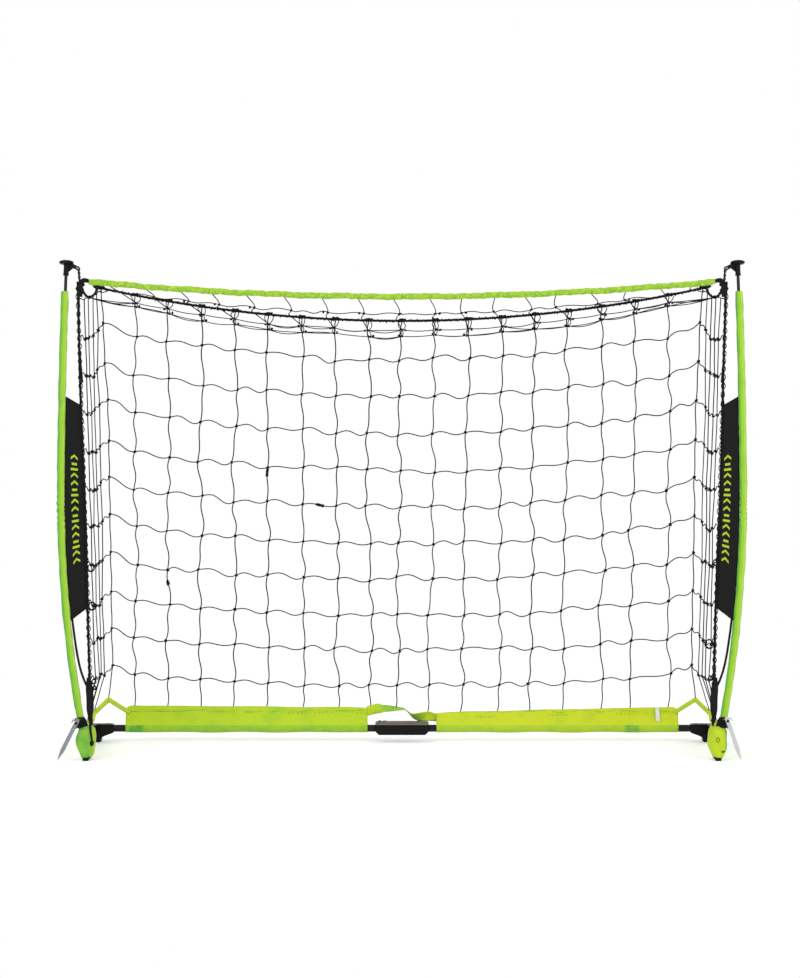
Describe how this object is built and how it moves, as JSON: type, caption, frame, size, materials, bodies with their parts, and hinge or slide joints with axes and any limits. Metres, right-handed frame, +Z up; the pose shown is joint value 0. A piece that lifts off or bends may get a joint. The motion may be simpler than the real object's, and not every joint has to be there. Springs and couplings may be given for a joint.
{
  "type": "portable football goal",
  "caption": "Pop-up training goal: folding U-shaped ground frame, two bowed poles in sleeves, slung crossbar and wedge-shaped knotted net with ground skirts.",
  "frame": {"origin": "on the ground, midway between the foremost and rearmost points, in the middle of the width", "axes": "+X across the mouth towards the player's right when facing the goal, -Y out of the mouth, +Z up"},
  "size_m": [1.834, 0.4998, 1.3262],
  "materials": {
    "black_nylon": "moulded black glass-filled nylon",
    "bronze_nylon": "satin moulded nylon, grey-brown",
    "pin_steel": "blackened steel pin",
    "black_tube": "black powder coat on steel tube",
    "fibreglass": "pultruded black fibreglass rod",
    "lime_polyester": "woven lime polyester",
    "black_polyester": "woven black polyester",
    "black_webbing": "black polypropylene webbing",
    "net_twine": "knotted black polyethylene twine",
    "black_rope": "braided and twisted black cord",
    "rivet_brass": "plated eyelet rivet",
    "stake_steel": "zinc-plated stamped steel"
  },
  "bodies": {
    "hub": {"hub_housing": "black_nylon", "hub_cover": "bronze_nylon", "hub_pins": "pin_steel", "hub_band": "lime_polyester"},
    "lock_button": {"hub_lock_button": "black_nylon"},
    "left_bar": {"left_base_bar": "black_tube", "left_hub_tongue": "black_nylon", "left_corner_bracket": "black_nylon", "left_bracket_plate": "bronze_nylon", "left_corner_pin": "pin_steel", "left_ground_skirt": "lime_polyester", "left_corner_strap": "lime_polyester", "left_back_net": "net_twine", "left_side_net": "net_twine", "left_roof_net": "net_twine", "left_top_rope": "black_rope", "left_crossbar": "lime_polyester", "left_corner_web": "black_webbing"},
    "left_side": {"left_side_tongue": "black_nylon", "left_side_tube": "black_tube", "left_front_foot": "black_nylon", "left_side_skirt": "lime_polyester", "left_lower_pole": "fibreglass", "left_upper_pole": "fibreglass", "left_pole_sleeve": "lime_polyester", "left_pole_cap": "black_nylon", "left_cap_rivet": "rivet_brass", "left_cap_cord": "black_rope", "left_gusset": "black_polyester", "left_edge_rope": "black_rope", "left_stake_tie": "black_rope"},
    "left_stake": {"left_stake": "stake_steel"},
    "right_bar": {"right_base_bar": "black_tube", "right_hub_tongue": "black_nylon", "right_corner_bracket": "black_nylon", "right_bracket_plate": "bronze_nylon", "right_corner_pin": "pin_steel", "right_ground_skirt": "lime_polyester", "right_corner_strap": "lime_polyester", "right_back_net": "net_twine", "right_side_net": "net_twine", "right_roof_net": "net_twine", "right_top_rope": "black_rope", "right_crossbar": "lime_polyester", "right_corner_web": "black_webbing"},
    "right_side": {"right_side_tongue": "black_nylon", "right_side_tube": "black_tube", "right_front_foot": "black_nylon", "right_side_skirt": "lime_polyester", "right_lower_pole": "fibreglass", "right_upper_pole": "fibreglass", "right_pole_sleeve": "lime_polyester", "right_pole_cap": "black_nylon", "right_cap_rivet": "rivet_brass", "right_cap_cord": "black_rope", "right_gusset": "black_polyester", "right_edge_rope": "black_rope", "right_stake_tie": "black_rope"},
    "right_stake": {"right_stake": "stake_steel"}
  },
  "joints": [
    {"name": "left_bar_fold", "type": "hinge", "parent": "hub", "child": "left_bar", "pos_m": [-0.049, 0.2279, 0.038], "axis": [0, 0, -1], "range_deg": [0, 90], "deforming": ["hub_band"]},
    {"name": "left_side_fold", "type": "hinge", "parent": "left_bar", "child": "left_side", "pos_m": [-0.87, 0.1829, 0.038], "axis": [0, 0, 1], "range_deg": [0, 84], "deforming": ["left_corner_strap", "left_back_net", "left_side_net", "left_roof_net", "left_top_rope", "left_crossbar", "left_corner_web"]},
    {"name": "left_stake_swing", "type": "hinge", "parent": "left_side", "child": "left_stake", "pos_m": [-0.85532, -0.24765, 0.101], "axis": [0, 1, 0], "range_deg": [0, 80]},
    {"name": "right_bar_fold", "type": "hinge", "parent": "hub", "child": "right_bar", "pos_m": [0.049, 0.2279, 0.038], "axis": [0, 0, 1], "range_deg": [0, 90]},
    {"name": "right_side_fold", "type": "hinge", "parent": "right_bar", "child": "right_side", "pos_m": [0.87, 0.1829, 0.038], "axis": [0, 0, -1], "range_deg": [0, 84], "deforming": ["right_corner_strap", "right_back_net", "right_side_net", "right_roof_net", "right_top_rope", "right_crossbar", "right_corner_web"]},
    {"name": "right_stake_swing", "type": "hinge", "parent": "right_side", "child": "right_stake", "pos_m": [0.85532, -0.24765, 0.107], "axis": [0, -1, 0], "range_deg": [0, 80]},
    {"name": "lock_press", "type": "slide", "parent": "hub", "child": "lock_button", "axis": [0, 0, -1], "range_m": [0, 0.0018], "stiffness_N_per_m": 300}
  ]
}
